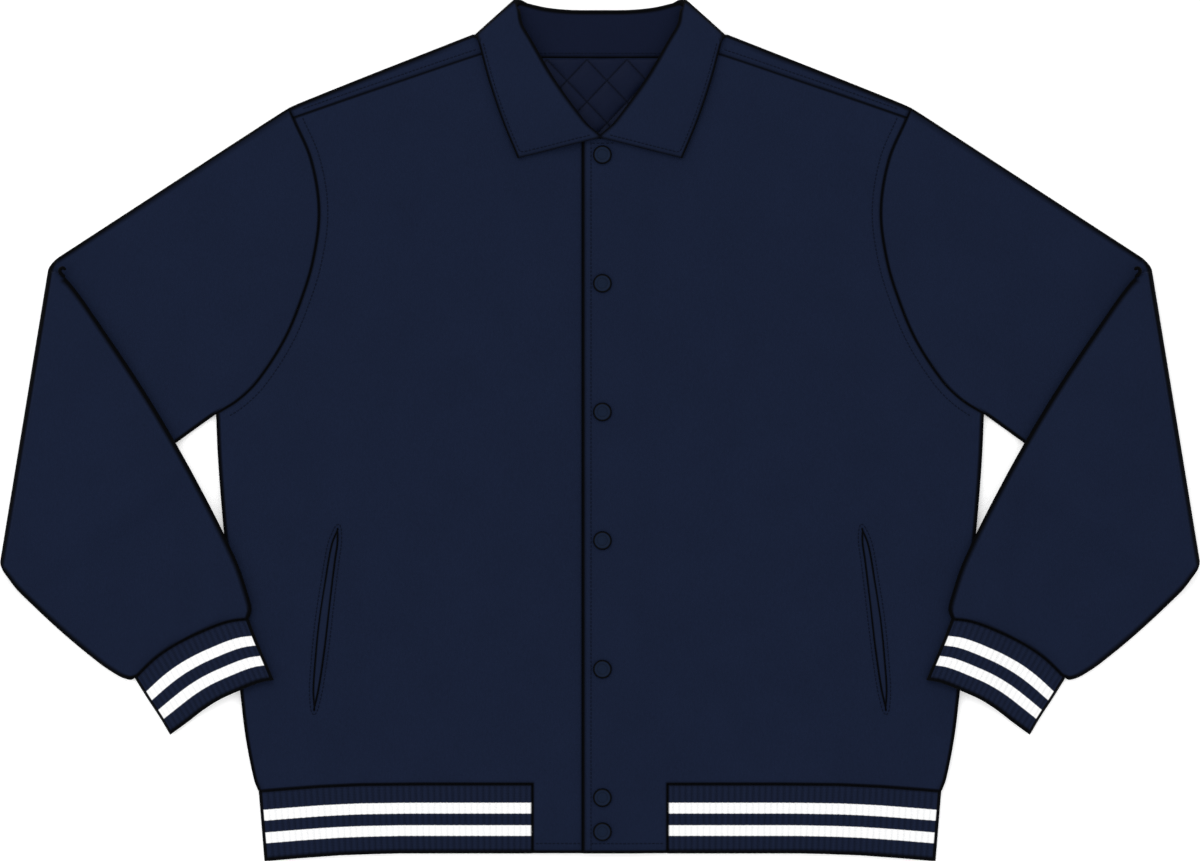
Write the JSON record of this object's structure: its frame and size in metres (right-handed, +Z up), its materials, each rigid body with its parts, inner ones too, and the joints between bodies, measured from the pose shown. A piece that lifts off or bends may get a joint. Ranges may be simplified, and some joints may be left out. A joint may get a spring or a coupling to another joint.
{
  "type": "varsity jacket, laid flat",
  "caption": "Dark navy varsity jacket with shirt collar, snap front, slanted welt pockets and white-striped rib cuffs and hem, lying flat with its sleeves folded over its sides.",
  "frame": {"origin": "on the surface that the jacket lies on, below the middle of its outline", "axes": "+Z up from the surface, +Y from the hem to the collar, +X towards the wearer's left sleeve"},
  "size_m": [0.9994, 0.7179, 0.0174],
  "materials": {
    "shell": "matte navy wool-blend cloth",
    "rib": "navy rib knit with two white stripes",
    "lining": "dark navy quilted satin",
    "snap": "navy enamelled snap cap"
  },
  "bodies": {
    "root": {"back": "shell", "front_left": "shell", "front_right": "shell", "sleeve_left": "shell", "sleeve_right": "shell", "collar": "shell", "collar_stand": "shell", "welt_left": "shell", "welt_right": "shell", "cuff_left": "rib", "cuff_right": "rib", "hem_rib": "rib", "back_lining": "lining", "snap_1": "snap", "snap_2": "snap", "snap_3": "snap", "snap_4": "snap", "snap_5": "snap", "snap_6": "snap", "snap_7": "snap"}
  },
  "joints": []
}
